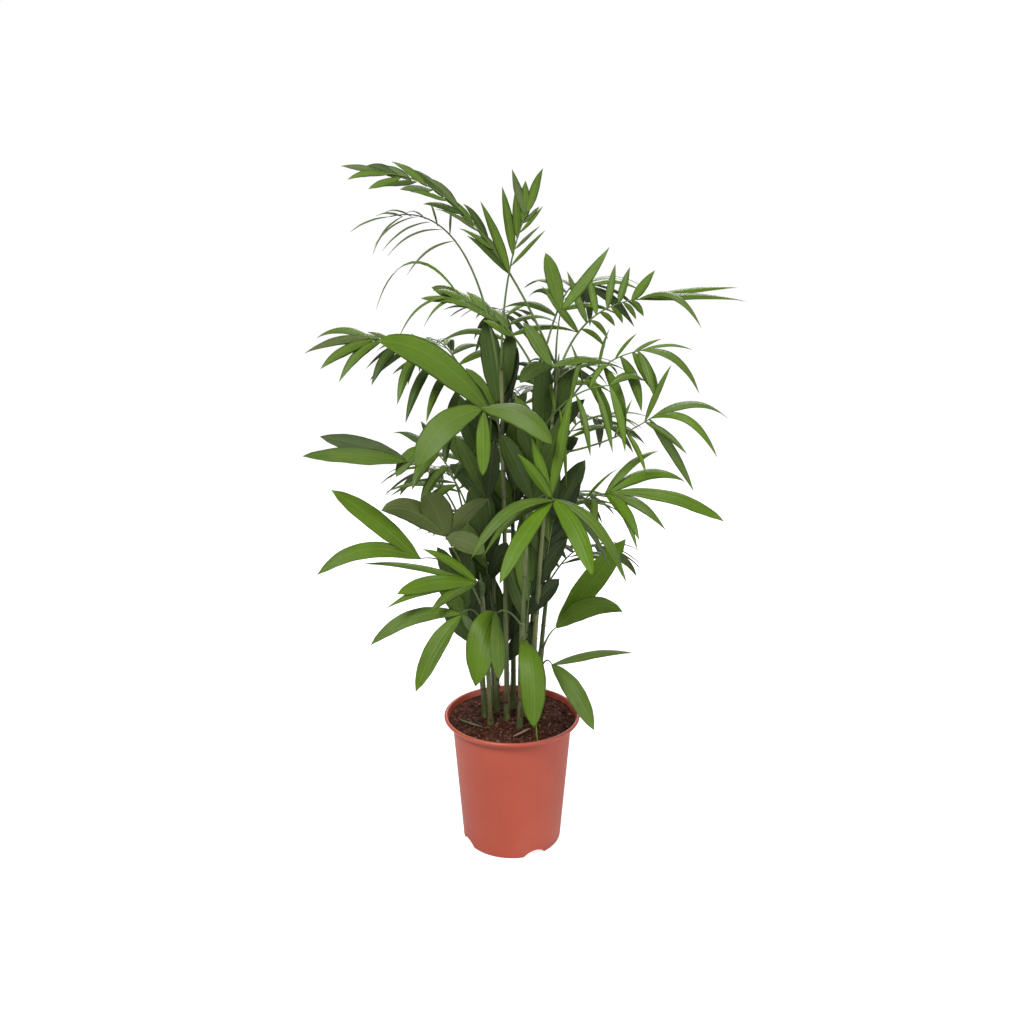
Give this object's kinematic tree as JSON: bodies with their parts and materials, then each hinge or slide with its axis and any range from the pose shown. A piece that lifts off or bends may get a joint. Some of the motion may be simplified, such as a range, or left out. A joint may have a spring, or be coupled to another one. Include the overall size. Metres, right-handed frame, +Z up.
{
  "type": "potted bamboo palm",
  "caption": "Clump of slim green canes with arching feathery fronds and broad split leaves, growing in a round terracotta-coloured plastic nursery pot.",
  "frame": {"origin": "middle of the pot's flat underside", "axes": "+Z up along the pot's axis, -Y towards the front view, +X to the right of it"},
  "size_m": [0.795, 0.7243, 1.2968],
  "materials": {
    "pot": "satin moulded plastic",
    "soil": "loose bark and coir",
    "cane": "smooth green cane",
    "frond": "satin leaf"
  },
  "bodies": {
    "root": {"cane_back": "cane", "cane_back_left": "cane", "cane_back_right": "cane", "cane_front": "cane", "cane_front_left": "cane", "cane_leaning": "cane", "cane_left": "cane", "cane_right": "cane", "cane_tall_left": "cane", "cane_tall_middle": "cane", "cane_tall_right": "cane", "frond_broad_left": "frond", "frond_core_1": "frond", "frond_core_2": "frond", "frond_core_3": "frond", "frond_core_4": "frond", "frond_core_5": "frond", "frond_core_6": "frond", "frond_core_7": "frond", "frond_core_8": "frond", "frond_core_9": "frond", "frond_crown_left": "frond", "frond_dark_top": "frond", "frond_far_left": "frond", "frond_foot_left": "frond", "frond_foot_right": "frond", "frond_front_left": "frond", "frond_front_right": "frond", "frond_hanging_left": "frond", "frond_heart": "frond", "frond_heart_left": "frond", "frond_inner_right": "frond", "frond_low_left": "frond", "frond_low_right": "frond", "frond_lower_right": "frond", "frond_middle_bow": "frond", "frond_middle_right": "frond", "frond_narrow_left": "frond", "frond_pale_left": "frond", "frond_rear_01": "frond", "frond_rear_02": "frond", "frond_rear_03": "frond", "frond_rear_04": "frond", "frond_rear_05": "frond", "frond_rear_06": "frond", "frond_rear_07": "frond", "frond_rear_08": "frond", "frond_rear_09": "frond", "frond_rear_10": "frond", "frond_rear_11": "frond", "frond_thin_left": "frond", "frond_top_fork": "frond", "frond_top_left": "frond", "frond_top_middle": "frond", "frond_umbrella": "frond", "frond_upper_left": "frond", "frond_upper_right": "frond", "frond_wide_right": "frond", "pot": "pot", "soil": "soil"}
  },
  "joints": []
}
